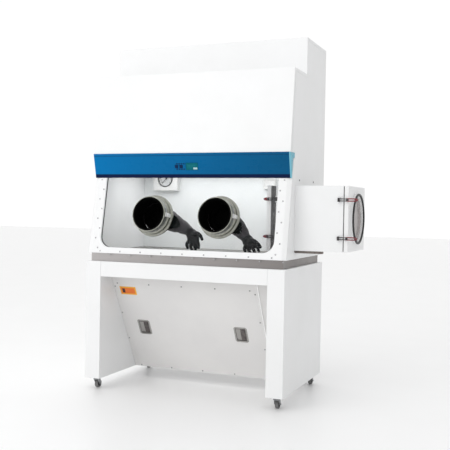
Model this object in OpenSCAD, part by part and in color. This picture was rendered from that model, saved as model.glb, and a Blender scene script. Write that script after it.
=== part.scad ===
// Laboratory glove box: a sealed steel cabinet on a wheeled stand. The operator works
// through two glove ports in the sloping window. Samples go in and out through the pass
// box on the right. Millimetres, +Z up. The origin is on the floor below the middle of the
// overall box. Dimensions are taken from the cabinet's own axes, with X = 0 at the middle of
// the cabinet's width and Y = 0 at the stand's front face; placed() moves each piece from
// one to the other.

/* [Cabinet] */
// Overall width of cabinet and stand
body_w = 1300; // [1000:10:1600]
// Overall depth of cabinet and stand
body_d = 808; // [700:1:900]
// Height of the top cover above the floor
top_z = 2191; // [2000:1:2300]
// Height of the sloping hood's top edge
hood_z = 1968; // [1800:1:2050]
// Setback of the upper housing's front face
housing_y = 374; // [250:1:450]
// Double side wall thickness
side_wall_t = 50; // [30:1:60]

/* [Window] */
// Lean of the window frame from vertical, degrees
window_tilt = 10.3; // [0:0.1:20]
// Height of the window frame's lower edge
window_z = 838; // [800:1:900]
// Width of the window opening
opening_w = 1142; // [900:1:1200]
// Corner radius of the window opening
opening_r = 70; // [20:1:120]
// Frame plate thickness
frame_t = 12; // [6:1:25]

/* [Glove ports] */
// Half the distance between the two port centres
port_x = 217; // [180:1:260]
// Distance of the port centres up the window slope
port_s = 262; // [200:1:320]
// Bore radius of a port ring
port_r = 97; // [70:1:110]
// Length the port ring stands out in front of the pane
port_reach = 82; // [40:1:100]

/* [Stand] */
// Height of the stand's lower edge above the floor
stand_z = 72; // [60:1:120]
// Height of the stand's top
stand_top_z = 806; // [700:1:900]
// Width of a leg panel
leg_w = 103; // [60:1:140]
// Lean of the knee panel from vertical, degrees
knee_tilt = 28.7; // [0:0.1:35]
// Height of the front and rear beams
beam_h = 94; // [60:1:120]
// Caster wheel radius
wheel_r = 26; // [20:1:40]

/* [Pass box] */
// Front face of the pass box behind the stand's front
pass_y = 172; // [120:1:240]
// Depth of the pass box, front to back
pass_d = 428; // [300:1:500]
// Underside of the pass box
pass_z = 908; // [880:1:1000]
// Height of the pass box
pass_h = 380; // [250:1:420]
// Reach of the pass box beyond the side wall
pass_reach = 287; // [200:1:350]
// Reach of the pass box into the chamber, from the cabinet's outer side face
pass_inset = 117; // [100:1:180]
// Door plate thickness
door_t = 25; // [15:1:35]
// Outside radius of the round window's ring in the outer door
porthole_r = 150; // [100:1:170]

/* [Hidden] */
$fn = 96;
seam = 0.5;             // gap left between pieces that only meet
body_gap = 0.3;         // least gap between a moving piece and its neighbour
skin = 3;               // folded sheet thickness
half_w = body_w / 2;
inner_x = half_w - side_wall_t;

// Window plane, measured up the slope from the frame's lower front edge
window_y = 13.6;
window_slope = tan(window_tilt);
band_low_z = 1328;
band_high_z = 1476;
ceiling_z = 1440;
opening_low_s = 58;
opening_high_s = 592;
frame_len = (ceiling_z - window_z) / cos(window_tilt);
gasket_t = 4;
pane_t = 8;
pane_w = 2 * inner_x - 20;
pane_low_s = 28;
port_hole_r = port_r + 15;
pane_back = frame_t + gasket_t + pane_t;
port_flange_r = 128;

// Band and hood, side profile
band_low_y = 100;
band_high_y = 66;
hood_low_y = 70;
hood_high_y = 129;
hood_t = 20;
band_back_y = 150;
band_tilt = atan((band_low_y - band_high_y) / (band_high_z - band_low_z));
band_mid_z = 1396;

// Chamber
floor_t = 15;
base_top_z = 856;
base_y = 28;
base_d = 738;
base_inset = 20;
floor_z = base_top_z + seam + floor_t;
rear_t = 25;
baffle_y = 660;
baffle_t = 15;

// Gauge on the rear baffle
gauge_x = -418;
gauge_z = 1344;
gauge_w = 184;
gauge_h = 160;
gauge_d = 40;
dial_r = 48;

// Knee panel, measured down the slope from its top edge
knee_top_y = 124;
knee_top_z = stand_top_z - beam_h;
knee_len = 730;
knee_x0 = -half_w + leg_w + 1;
knee_x1 = 435;
cup_x = [-397, 276];
cup_s = 395;
cup_w = 72;
cup_h = 112;
cup_depth = 24;
paddle_w = 56;
paddle_h = 84;
paddle_pin_y = 4;
paddle_pin_s = 40;
paddle_pin_r = 3;

// Casters
caster_x = half_w - leg_w / 2;
caster_y0 = 60;
caster_y1 = body_d - 60;
caster_trail = 16;
wheel_w = 22;

// Pass box and its doors
pass_t = 22;
pass_out_x = half_w + pass_reach;
pass_in_x = half_w - pass_inset;
outer_gap = 5;
inner_gap = 30;
gasket_inset = 4;
gasket_web = 14;
rail_h = 14;
rail_len = 170;
hinge_y = pass_y + pass_d + 14;
hinge_r = 9;
hinge_pin_r = 4;
hinge_fit = 0.08;
hinge_z = [pass_z + 70, pass_z + pass_h - 70];
knuckle_h = 36;
latch_z = [987, 1207];
latch_y = pass_y - 13;
latch_pin_r = 3;
outer_axis_x = pass_out_x + outer_gap + door_t / 2;
inner_axis_x = pass_in_x - inner_gap - door_t / 2;
boss_t = 8;
ring_t = 9;
ring_w = 14;
porthole_bore_r = porthole_r - 18;
outer_latch_x = pass_out_x - 26;
inner_latch_x = pass_in_x + 9;
outer_reach = 112;
inner_reach = 82;
outer_grip = 68;
inner_grip = 34;

// Machinery behind the hood
blower_y = 560;
blower_z = 1760;
blower_r = 170;
blower_w = 300;
impeller_r = 120;
shaft_r = 8;
collar_y = 640;
collar_r = 80;
collar_h = 40;

// Control band
key_w = 22;
key_h = 20;
key_x = [-76, -46];
inlet_t = 12;

// Middle of the overall box: it runs from the left side wall to the outer latches' grips,
// and from the lowest point of the port rims to the power inlet
rim_y = window_y + (port_s - port_r - 10) * sin(window_tilt)
  - (port_reach - frame_t - gasket_t) * cos(window_tilt);
box_mid_x = (outer_latch_x + outer_reach - half_w) / 2;
box_mid_y = (rim_y + body_d + inlet_t) / 2;

// ---------------------------------------------------------------- helpers

// Children moved from the cabinet's own axes to the part's origin
module placed() {
  translate([-box_mid_x, -box_mid_y, 0]) children();
}

// Box from its low corner to its high corner
module span(a, b) {
  translate(a) cube(b - a);
}

// Children drawn with X across, Y into the cabinet and Z up the window slope
module on_window(s = 0, x = 0) {
  translate([x, window_y, window_z]) rotate([-window_tilt, 0, 0]) translate([0, 0, s]) children();
}

// Children drawn with X across, Y behind the knee panel and -Z down its slope
module on_knee(s = 0, x = 0) {
  translate([x, knee_top_y, knee_top_z]) rotate([knee_tilt, 0, 0]) translate([0, 0, -s]) children();
}

// Upright plate in the YZ plane from a side profile
module side_plate(x0, x1, profile) {
  translate([x0, 0, 0]) rotate([90, 0, 90]) linear_extrude(x1 - x0) polygon(profile);
}

// Round bar along X or Y, centred on its start
module bar_x(r, len) {
  rotate([0, 90, 0]) cylinder(r = r, h = len);
}

module bar_y(r, len) {
  rotate([-90, 0, 0]) cylinder(r = r, h = len);
}

// Rectangle with two rounded lower corners, as used for the window opening
module window_outline(w, low, high, r) {
  for (side = [-1, 1]) {
    translate([side * (w / 2 - r), low + r]) circle(r);
  }
  translate([-w / 2 + r, low]) square([w - 2 * r, r * 2]);
  translate([-w / 2, low + r]) square([w, high - low - r]);
}

// Front y of the window frame at a height
function frame_y(z) = window_y + (z - window_z) * window_slope;

// ---------------------------------------------------------------- stand

// Folded side panels, open at the back
module stand_side_panels() {
  color("whitesmoke") placed() for (side = [-1, 1]) {
    translate([side * (half_w - leg_w / 2), 0, 0]) difference() {
      span([-leg_w / 2, 0, stand_z], [leg_w / 2, body_d, stand_top_z]);
      span([-leg_w / 2 + skin, skin, stand_z + skin],
        [leg_w / 2 - skin, body_d + 1, stand_top_z - skin]);
    }
  }
}

module stand_beams() {
  beam_x = half_w - leg_w - seam;
  color("whitesmoke") placed() {
    span([-beam_x, 0, knee_top_z], [beam_x, 60, stand_top_z]);
    span([-beam_x, body_d - 40, knee_top_z], [beam_x, body_d, stand_top_z]);
    span([-beam_x, body_d - 40, stand_z], [beam_x, body_d, stand_z + 60]);
  }
}

module knee_panel() {
  color("gainsboro") placed() difference() {
    on_knee() span([knee_x0, 0, -knee_len], [knee_x1, skin, -6]);
    for (x = cup_x) {
      on_knee(cup_s, x) span([-cup_w / 2, -5, -cup_h / 2], [cup_w / 2, 10, cup_h / 2]);
    }
  }
}

module knee_filler_panel() {
  color("gainsboro") placed() on_knee()
    span([knee_x1 + 1, 10, -knee_len], [half_w - leg_w - 1, 10 + skin, -12]);
}

module panel_latch_cups() {
  color("silver") placed() for (x = cup_x) {
    on_knee(cup_s, x) difference() {
      span([-cup_w / 2 + seam, -2, -cup_h / 2 + seam],
        [cup_w / 2 - seam, cup_depth, cup_h / 2 - seam]);
      span([-cup_w / 2 + 3, -3, -cup_h / 2 + 3], [cup_w / 2 - 3, cup_depth - 2, cup_h / 2 - 3]);
      translate([-cup_w / 2, paddle_pin_y, paddle_pin_s]) bar_x(paddle_pin_r + 0.08, cup_w);
    }
  }
}

// Pull paddle hung on a pin near the top of its cup
module latch_paddle(x) {
  color("slategray") placed() on_knee(cup_s, x) {
    span([-paddle_w / 2, 2, -paddle_h / 2], [paddle_w / 2, 5, paddle_h / 2 - 4]);
    translate([-cup_w / 2 + 1, paddle_pin_y, paddle_pin_s]) bar_x(paddle_pin_r, cup_w - 2);
  }
}

module left_latch_paddle() {
  latch_paddle(cup_x[0]);
}

module right_latch_paddle() {
  latch_paddle(cup_x[1]);
}

module label_plate() {
  color("orange") placed() on_knee(113, -448) span([-57, -1.2, -30], [57, -0.1, 30]);
}

// ---------------------------------------------------------------- casters

module caster_plates() {
  color("silver") placed() for (x = [-caster_x, caster_x], y = [caster_y0, caster_y1]) {
    span([x - 38, y - 38, stand_z - 4.5], [x + 38, y + 38, stand_z - seam]);
    translate([x, y, stand_z - 14]) cylinder(r = 20, h = 10);
  }
}

// Swivel fork: two cheeks behind the swivel axis
module caster_fork() {
  fork_top = stand_z - 14.5;
  color("gray") placed() {
    translate([0, 0, fork_top - 4]) cylinder(r = 22, h = 4);
    for (side = [-1, 1]) {
      span([side * 15 - 1.5, -6, fork_top - 14], [side * 15 + 1.5, 18, fork_top - 3]);
      translate([side * 15 - 1.5, 0, 0]) difference() {
        hull() {
          span([0, -4, fork_top - 16], [3, 20, fork_top - 13]);
          translate([0, caster_trail, wheel_r]) bar_x(8, 3);
        }
        translate([-1, caster_trail, wheel_r]) bar_x(4, 5);
      }
    }
  }
}

// Wheel with its own axle stubs running in the fork cheeks
module caster_wheel() {
  color("dimgray") placed() translate([0, caster_trail, wheel_r]) {
    translate([-wheel_w / 2, 0, 0]) bar_x(wheel_r, wheel_w);
    translate([-19, 0, 0]) bar_x(3.95, 38);
  }
}

module at_caster(side, y) {
  translate([side * caster_x, y, 0]) children();
}

module front_left_caster_fork() {
  at_caster(-1, caster_y0) caster_fork();
}

module front_right_caster_fork() {
  at_caster(1, caster_y0) caster_fork();
}

module rear_left_caster_fork() {
  at_caster(-1, caster_y1) caster_fork();
}

module rear_right_caster_fork() {
  at_caster(1, caster_y1) caster_fork();
}

module front_left_wheel() {
  at_caster(-1, caster_y0) caster_wheel();
}

module front_right_wheel() {
  at_caster(1, caster_y0) caster_wheel();
}

module rear_left_wheel() {
  at_caster(-1, caster_y1) caster_wheel();
}

module rear_right_wheel() {
  at_caster(1, caster_y1) caster_wheel();
}

// ---------------------------------------------------------------- cabinet body

// Folded tray, set in from the sides of the stand and cabinet
module base_plate() {
  base_x = half_w - base_inset;
  color("silver") placed() difference() {
    span([-base_x, base_y, stand_top_z + seam], [base_x, base_y + base_d, base_top_z]);
    span([-base_x + skin, base_y + skin, stand_top_z],
      [base_x - skin, base_y + base_d - skin, base_top_z - skin]);
  }
}

// Side profile shared by both double walls, inset behind the front skins
wall_profile = [
  [frame_y(base_top_z) + frame_t + 2, base_top_z + seam],
  [frame_y(ceiling_z + 4) + frame_t + 2, ceiling_z + 4],
  [band_back_y + 1, ceiling_z + 4],
  [band_back_y + 1, band_high_z + 1],
  [hood_low_y + hood_t + 2, band_high_z + 1],
  [hood_high_y + hood_t - 2, hood_z - hood_t - seam],
  [housing_y + hood_t + seam, hood_z - hood_t - seam],
  [housing_y + hood_t + seam, top_z - hood_t - seam],
  [body_d - rear_t - seam, top_z - hood_t - seam],
  [body_d - rear_t - seam, base_top_z + seam]
];

// Raised strip down the wall beside the window, its rear edge parallel to the pane
jamb_t = 3.5;
jamb_depth = 190;
jamb_profile = [
  [frame_y(floor_z + 1) + pane_back + 8, floor_z + 1],
  [frame_y(ceiling_z) + pane_back + 8, ceiling_z],
  [frame_y(ceiling_z) + jamb_depth, ceiling_z],
  [frame_y(floor_z + 1) + jamb_depth, floor_z + 1]
];

module cabinet_left_wall() {
  color("whitesmoke") placed() {
    side_plate(-half_w, -inner_x, wall_profile);
    side_plate(-inner_x - 1, -inner_x + jamb_t, jamb_profile);
  }
}

module cabinet_right_wall() {
  color("whitesmoke") placed() difference() {
    union() {
      side_plate(inner_x, half_w, wall_profile);
      side_plate(inner_x - jamb_t, inner_x + 1, jamb_profile);
    }
    span([inner_x - jamb_t - 1, pass_y - seam, pass_z - seam],
      [half_w + 1, pass_y + pass_d + seam, pass_z + pass_h + seam]);
  }
}

module cabinet_rear_wall() {
  color("whitesmoke") placed()
    span([-half_w, body_d - rear_t, base_top_z + seam], [half_w, body_d, top_z]);
}

module rear_baffle() {
  color("gainsboro") placed() span([-inner_x + seam, baffle_y, floor_z + seam],
    [inner_x - seam, baffle_y + baffle_t, ceiling_z]);
}

module work_floor() {
  color("silver") placed() difference() {
    span([-inner_x + seam, 60, base_top_z + seam],
      [inner_x - seam, body_d - rear_t - seam, floor_z]);
    span([-inner_x + 20, 90, floor_z - 3], [inner_x - 20, baffle_y - 20, floor_z + 1]);
  }
}

module diffuser_plate() {
  slot_pitch = 110;
  color("gainsboro") placed() difference() {
    span([-inner_x + seam, band_back_y + 2, ceiling_z + seam],
      [inner_x - seam, body_d - rear_t - seam, ceiling_z + 4]);
    for (i = [-4 : 4], j = [0 : 3]) {
      translate([i * slot_pitch, 240 + j * 100, ceiling_z])
        span([-40, -8, -1], [40, 8, 6]);
    }
  }
}

// ---------------------------------------------------------------- window

// Plate with a rounded opening, a bevel down each outer edge and a foot cut level with the tray
module window_frame() {
  bevel_w = 28;
  bevel_d = 9;
  overrun = 5;
  color("white") placed() difference() {
    on_window() difference() {
      rotate([90, 0, 0]) translate([0, 0, -frame_t]) linear_extrude(frame_t) difference() {
        translate([-half_w, 0]) square([body_w, frame_len]);
        window_outline(opening_w, opening_low_s, opening_high_s, opening_r);
      }
      for (side = [-1, 1]) {
        translate([0, 0, -1]) linear_extrude(frame_len + 2) polygon([
          [side * (half_w - bevel_w), 0],
          [side * (half_w - bevel_w), -overrun],
          [side * (half_w + overrun), -overrun],
          [side * (half_w + overrun), bevel_d * (1 + overrun / bevel_w)]
        ]);
      }
    }
    span([-half_w - 1, 0, base_top_z - 2 * frame_t], [half_w + 1, base_y + base_d, base_top_z + seam]);
  }
}

module window_gasket() {
  lip = 3;
  color("black") placed() on_window() rotate([90, 0, 0])
    translate([0, 0, -frame_t - gasket_t + 0.1]) linear_extrude(gasket_t - 0.2) difference() {
      translate([-pane_w / 2, pane_low_s]) square([pane_w, frame_len - 12 - pane_low_s]);
      window_outline(opening_w - 2 * lip, opening_low_s + lip, opening_high_s - lip, opening_r);
    }
}

module window_pane() {
  color("lightcyan") placed() on_window() difference() {
    span([-pane_w / 2, frame_t + gasket_t, pane_low_s], [pane_w / 2, pane_back, frame_len - 12]);
    for (side = [-1, 1]) {
      translate([side * port_x, 0, port_s]) bar_y(port_hole_r, 60);
    }
  }
}

// Stepped ring clamped on both faces of the pane, turned about the port axis.
// Profile distances run outward from the pane's front face.
module port_ring() {
  rotate([90, 0, 0]) rotate_extrude() polygon([
    [port_r, -pane_t - 8],
    [port_hole_r + 10, -pane_t - 8],
    [port_hole_r + 10, -pane_t - 0.2],
    [port_hole_r - 1, -pane_t - 0.2],
    [port_hole_r - 1, 0.2],
    [port_flange_r, 0.2],
    [port_flange_r, 9],
    [port_r + 19, 13],
    [port_r + 19, 34],
    [port_r + 9, 38],
    [port_r + 9, port_reach - 8],
    [port_r + 12, port_reach - 6],
    [port_r + 12, port_reach - 2],
    [port_r + 10, port_reach],
    [port_r, port_reach]
  ]);
}

module at_port(side) {
  on_window(port_s, side * port_x) translate([0, frame_t + gasket_t, 0]) children();
}

module glove_port_rings() {
  color("darkgray") placed() for (side = [-1, 1]) {
    at_port(side) port_ring();
  }
}

// Split band with a closing clip on its right
module glove_clamp_bands() {
  band_r = port_r + 9.3;
  color("gray") placed() for (side = [-1, 1]) {
    at_port(side) {
      translate([0, -58, 0]) rotate([-90, 0, 0]) difference() {
        cylinder(r = band_r + 2, h = 14);
        translate([0, 0, -1]) cylinder(r = band_r, h = 16);
      }
      span([band_r + 1, -62, -11], [band_r + 10, -40, 11]);
    }
  }
}

// Tapered limb, a little thinner than the balls at its ends, with a ball at the far one
module limb(a, b, ra, rb) {
  v = b - a;
  slim = 0.93;
  translate(a) rotate([0, acos(v[2] / norm(v)), atan2(v[1], v[0])])
    cylinder(r1 = ra * slim, r2 = rb * slim, h = norm(v));
  translate(b) sphere(rb);
}

// Glove: an open cuff through the port, closed by a tapering shoulder, then a drooping
// arm and hand whose joints are given in the cabinet's frame
module glove(side, elbow, wrist, palm, finger, thumb) {
  cuff_r = port_r - 2;
  cuff_end = pane_t + 13;
  elbow_r = 44;
  wrist_r = 30;
  palm_r = 25;
  color("dimgray") placed() {
    at_port(side) translate([0, cuff_end, 0]) rotate([90, 0, 0]) difference() {
      cylinder(r = cuff_r, h = port_reach + cuff_end);
      translate([0, 0, 4]) cylinder(r = cuff_r - 3, h = port_reach + cuff_end);
    }
    at_port(side) translate([0, cuff_end, 0]) rotate([-90, 0, 0])
      cylinder(r1 = cuff_r, r2 = elbow_r * 0.9, h = 38);
    translate(elbow) sphere(elbow_r);
    limb(elbow, wrist, elbow_r, wrist_r);
    limb(wrist, palm, wrist_r, palm_r);
    limb(palm, finger, palm_r * 0.9, 11);
    limb(palm, thumb, palm_r * 0.7, 9);
  }
}

module left_glove() {
  glove(-1, [-217, 137, 1082], [-20, 132, 1000], [14, 132, 945], [20, 134, 890], [58, 136, 958]);
}

module right_glove() {
  glove(1, [217, 137, 1082], [345, 130, 985], [378, 132, 938], [396, 136, 890], [425, 140, 915]);
}

// ---------------------------------------------------------------- chamber fittings

module gauge_housing() {
  color("white") placed() difference() {
    span([gauge_x - gauge_w / 2, baffle_y - gauge_d, gauge_z - gauge_h / 2],
      [gauge_x + gauge_w / 2, baffle_y - 0.2, gauge_z + gauge_h / 2]);
    translate([gauge_x, baffle_y - gauge_d - 1, gauge_z]) bar_y(dial_r + 2, 19);
  }
}

module gauge_dial() {
  color("ivory") placed() translate([gauge_x, baffle_y - gauge_d + 14, gauge_z]) {
    bar_y(dial_r + 1.5, 3);
    translate([0, -6, 0]) bar_y(2, 7);
  }
}

// Pointer on the dial's spindle, resting at the low end of its scale
module gauge_needle() {
  color("crimson") placed() translate([gauge_x, baffle_y - gauge_d + 10, gauge_z]) rotate([0, 45, 0])
    difference() {
      union() {
        bar_y(6, 2);
        span([-1.5, 0, -dial_r + 8], [1.5, 1.2, 4]);
        span([-4, 0, 4], [4, 1.2, 20]);
      }
      translate([0, -1, 0]) bar_y(2.08, 5);
    }
}

module gauge_lens() {
  color("lightcyan") placed() translate([gauge_x, baffle_y - gauge_d + 2, gauge_z]) bar_y(dial_r + 1.5, 3);
}

module lamp_tube() {
  color("white") placed() translate([0, 200, ceiling_z - 24]) {
    translate([-450, 0, 0]) bar_x(13, 900);
    for (side = [-1, 1]) {
      span([side * 460 - 8, -16, -16], [side * 460 + 8, 16, 23]);
    }
  }
}

module service_socket() {
  color("white") placed() difference() {
    span([290, baffle_y - 24, 1278], [372, baffle_y - 0.2, 1344]);
    span([298, baffle_y - 25, 1286], [364, baffle_y - 20, 1336]);
  }
}

// ---------------------------------------------------------------- upper covers

module hood_cover() {
  color("white") placed() side_plate(-half_w, half_w, [
    [hood_low_y, band_high_z + seam],
    [hood_high_y, hood_z],
    [housing_y - seam, hood_z],
    [housing_y - seam, hood_z - hood_t],
    [hood_high_y + hood_t - 4, hood_z - hood_t],
    [hood_low_y + hood_t, band_high_z + seam]
  ]);
}

module upper_housing() {
  color("white") placed() difference() {
    side_plate(-half_w, half_w, [
      [housing_y, hood_z - hood_t],
      [housing_y, top_z],
      [body_d - rear_t - seam, top_z],
      [body_d - rear_t - seam, top_z - hood_t],
      [housing_y + hood_t, top_z - hood_t],
      [housing_y + hood_t, hood_z - hood_t]
    ]);
    translate([0, collar_y, top_z - 30]) cylinder(r = collar_r + 1, h = 40);
  }
}

module control_band() {
  color("steelblue") placed() difference() {
    side_plate(-half_w, half_w, [
      [band_low_y, band_low_z],
      [band_high_y, band_high_z],
      [band_back_y, band_high_z],
      [band_back_y, ceiling_z + 8],
      [frame_y(ceiling_z + 4) - 1, ceiling_z + 4],
      [frame_y(band_low_z) - 0.6, band_low_z]
    ]);
    for (x = key_x) {
      on_band(x) span([-key_w / 2, -1, -key_h / 2], [key_w / 2, 8, key_h / 2]);
    }
    on_band(26) span([-40, -1, -22], [40, 4, 22]);
  }
}

// Children drawn on the band's leaning front face
module on_band(x) {
  band_y = band_low_y - (band_mid_z - band_low_z) * tan(band_tilt);
  translate([x, band_y, band_mid_z]) rotate([band_tilt, 0, 0]) children();
}

module control_display() {
  color("teal") placed() on_band(26) span([-39, 0.5, -21], [39, 3.8, 21]);
}

module panel_key(x) {
  color("navy") placed() on_band(x)
    span([-key_w / 2 + 0.4, -1.6, -key_h / 2 + 0.4], [key_w / 2 - 0.4, 5, key_h / 2 - 0.4]);
}

module fan_key() {
  panel_key(key_x[0]);
}

module lamp_key() {
  panel_key(key_x[1]);
}

// ---------------------------------------------------------------- air system

module blower_housing() {
  color("silver") placed() translate([-blower_w / 2, blower_y, blower_z]) {
    difference() {
      union() {
        bar_x(blower_r, blower_w);
        span([0, -20, 0], [blower_w, blower_r, blower_r + 80]);
      }
      translate([4, 0, 0]) bar_x(blower_r - 4, blower_w - 8);
      span([4, -16, 0], [blower_w - 4, blower_r - 4, blower_r + 90]);
      translate([-1, 0, 0]) bar_x(impeller_r * 0.7, blower_w + 2);
    }
    bar_x(shaft_r, blower_w);
    for (x = [0, blower_w - 4]) {
      span([x, -impeller_r * 0.75, -8], [x + 4, impeller_r * 0.75, 8]);
    }
  }
}

module blower_impeller() {
  blades = 16;
  color("dimgray") placed() translate([-blower_w / 2 + 30, blower_y, blower_z]) {
    difference() {
      union() {
        bar_x(18, blower_w - 60);
        translate([(blower_w - 60) / 2 - 2, 0, 0]) bar_x(impeller_r, 4);
      }
      translate([-1, 0, 0]) bar_x(shaft_r + 0.08, blower_w);
    }
    for (i = [0 : blades - 1]) {
      rotate([i * 360 / blades, 0, 0])
        span([0, impeller_r - 26, -1.5], [blower_w - 60, impeller_r - 2, 1.5]);
    }
  }
}

// Pleated filter pack in a deep frame
module filter_box(w, d, h) {
  pleats = 8;
  difference() {
    span([-w / 2, -d / 2, 0], [w / 2, d / 2, h]);
    for (i = [0 : pleats - 1]) {
      x = -w / 2 + 20 + i * (w - 40) / pleats;
      span([x, -d / 2 + 20, h - 20], [x + (w - 40) / pleats - 6, d / 2 - 20, h + 1]);
    }
  }
}

module hepa_filters() {
  color("white") placed() {
    translate([0, 420, ceiling_z + 30]) filter_box(1100, 440, 90);
    translate([0, 590, blower_z + 260]) filter_box(600, 340, 90);
  }
}

module exhaust_collar() {
  color("silver") placed() translate([0, collar_y, top_z - hood_t]) difference() {
    union() {
      cylinder(r = collar_r, h = hood_t + collar_h);
      translate([0, 0, hood_t + 0.2]) cylinder(r = collar_r + 22, h = 3);
    }
    translate([0, 0, -1]) cylinder(r = collar_r - 2, h = hood_t + collar_h + 2);
  }
}

module power_inlet() {
  color("black") placed() translate([500, body_d + 0.2, 1560]) difference() {
    span([-30, 0, -25], [30, inlet_t, 25]);
    span([-16, 4, -12], [16, inlet_t + 1, 12]);
  }
}

// ---------------------------------------------------------------- pass box

// Pivot block for a latch, on the front face of the shell
module latch_bracket(x, z) {
  for (side = [-1, 1]) {
    difference() {
      span([x - 6, latch_y - 7, z + side * 15 - 3], [x + 6, pass_y + 1, z + side * 15 + 3]);
      translate([x, latch_y, z + side * 15 - 4]) cylinder(r = latch_pin_r + hinge_fit, h = 8);
    }
  }
}

// Fixed hinge leaves above and below one door knuckle, carried back to the shell
module hinge_leaves(x_axis, x_shell, z) {
  for (side = [-1, 1]) {
    z0 = z + side * (knuckle_h / 2 + 9.5) - 8;
    difference() {
      union() {
        span([min(x_axis, x_shell), hinge_y - hinge_r, z0],
          [max(x_axis, x_shell), hinge_y + hinge_r, z0 + 16]);
        translate([x_axis, hinge_y, z0]) cylinder(r = hinge_r, h = 16);
        span([x_shell - 8, pass_y + pass_d - 1, z0], [x_shell + 8, hinge_y + hinge_r, z0 + 16]);
      }
      translate([x_axis, hinge_y, z0 - 1]) cylinder(r = hinge_pin_r + hinge_fit, h = 18);
    }
  }
}

module pass_box_shell() {
  color("whitesmoke") placed() {
    difference() {
      span([pass_in_x, pass_y, pass_z], [pass_out_x, pass_y + pass_d, pass_z + pass_h]);
      span([pass_in_x - 1, pass_y + pass_t, pass_z + pass_t],
        [pass_out_x + 1, pass_y + pass_d - pass_t, pass_z + pass_h - pass_t]);
    }
    span([half_w + 1, pass_y + 4, pass_z - rail_h], [half_w + rail_len, pass_y + 24, pass_z + 1]);
    for (z = latch_z) {
      latch_bracket(outer_latch_x, z);
      latch_bracket(inner_latch_x, z);
    }
    for (z = hinge_z) {
      hinge_leaves(outer_axis_x, pass_out_x - 20, z);
      hinge_leaves(inner_axis_x, pass_in_x + 20, z);
    }
  }
}

// Rubber frame bonded round one mouth of the shell, standing off the closed door
module door_gasket(x0, x1, drop) {
  y0 = pass_y + gasket_inset;
  y1 = pass_y + pass_d - gasket_inset;
  difference() {
    span([x0, y0, pass_z + drop], [x1, y1, pass_z + pass_h - drop]);
    span([x0 - 1, y0 + gasket_web, pass_z + drop + gasket_web],
      [x1 + 1, y1 - gasket_web, pass_z + pass_h - drop - gasket_web]);
  }
}

module door_gaskets() {
  color("black") placed() {
    door_gasket(pass_out_x, pass_out_x + outer_gap - body_gap, gasket_inset);
    door_gasket(pass_in_x - inner_gap + body_gap, pass_in_x, gasket_inset);
  }
}

module door_hinge_pins() {
  pin_len = knuckle_h + 42;
  color("gray") placed() {
    for (x = [outer_axis_x, inner_axis_x], z = hinge_z) {
      translate([x, hinge_y, z - pin_len / 2]) cylinder(r = hinge_pin_r, h = pin_len);
    }
    for (x = [outer_latch_x, inner_latch_x], z = latch_z) {
      translate([x, latch_y, z - 19]) cylinder(r = latch_pin_r, h = 38);
    }
  }
}

// Door plate with its two hinge knuckles and the catch studs under the latches
module door_plate(x0) {
  x_axis = x0 + door_t / 2;
  difference() {
    union() {
      span([x0, pass_y, pass_z], [x0 + door_t, pass_y + pass_d, pass_z + pass_h]);
      for (z = hinge_z) {
        span([x_axis - hinge_r, pass_y + pass_d - 1, z - knuckle_h / 2],
          [x_axis + hinge_r, hinge_y, z + knuckle_h / 2]);
        translate([x_axis, hinge_y, z - knuckle_h / 2]) cylinder(r = hinge_r, h = knuckle_h);
      }
      for (z = latch_z) {
        span([x_axis - 5, pass_y - 5, z - 2.5], [x_axis + 5, pass_y + 1, z + 2.5]);
      }
    }
    for (z = hinge_z) {
      translate([x_axis, hinge_y, z - knuckle_h]) cylinder(r = hinge_pin_r + hinge_fit, h = knuckle_h * 2);
    }
  }
}

// Ring and glass sit on the door's centre
module at_porthole() {
  translate([pass_out_x + outer_gap, pass_y + pass_d / 2, pass_z + pass_h / 2]) children();
}

module outer_door() {
  color("white") placed() difference() {
    union() {
      door_plate(pass_out_x + outer_gap);
      at_porthole() translate([door_t - 1, 0, 0]) bar_x(porthole_r - 1, boss_t + 1);
    }
    at_porthole() translate([-1, 0, 0]) bar_x(porthole_bore_r, door_t + boss_t + 2);
  }
}

// Rubber-edged ring clamping the glass, on a boss that stands out from the door
module outer_door_ring() {
  low_r = porthole_r - ring_w;
  edge = 3;
  color("black") placed() at_porthole() translate([door_t + boss_t + 0.1, 0, 0])
    rotate([0, 90, 0]) rotate_extrude() polygon([
      [low_r, 0],
      [porthole_r, 0],
      [porthole_r, ring_t - edge],
      [porthole_r - edge, ring_t],
      [low_r + edge, ring_t],
      [low_r, ring_t - edge]
    ]);
}

module outer_door_glass() {
  color("lightcyan") placed() at_porthole() translate([door_t - 12, 0, 0]) bar_x(porthole_bore_r - 0.2, 8);
}

module inner_door() {
  color("white") placed() door_plate(pass_in_x - inner_gap - door_t);
}

// Lift-off clamp: two rods from the pivot cross the door gap to a plastic grip
module door_latch(x, z, dir, reach, grip) {
  barrel_r = 6;
  barrel_h = 23;
  rod_r = 2.5;
  rod_x = 4;
  rod_z = 6;
  grip_h = 18;
  color("firebrick") placed() translate([x, latch_y, z]) scale([dir, 1, 1]) {
    difference() {
      translate([0, 0, -barrel_h / 2]) cylinder(r = barrel_r, h = barrel_h);
      translate([0, 0, -barrel_h / 2 - 1]) cylinder(r = latch_pin_r + hinge_fit, h = barrel_h + 2);
    }
    for (side = [-1, 1]) {
      translate([rod_x, 0, side * rod_z]) bar_x(rod_r, reach - grip);
    }
    span([reach - grip, -5, -grip_h / 2], [reach, 5, grip_h / 2]);
  }
}

module outer_lower_latch() {
  door_latch(outer_latch_x, latch_z[0], 1, outer_reach, outer_grip);
}

module outer_upper_latch() {
  door_latch(outer_latch_x, latch_z[1], 1, outer_reach, outer_grip);
}

module inner_lower_latch() {
  door_latch(inner_latch_x, latch_z[0], -1, inner_reach, inner_grip);
}

module inner_upper_latch() {
  door_latch(inner_latch_x, latch_z[1], -1, inner_reach, inner_grip);
}

// ---------------------------------------------------------------- fasteners

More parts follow.
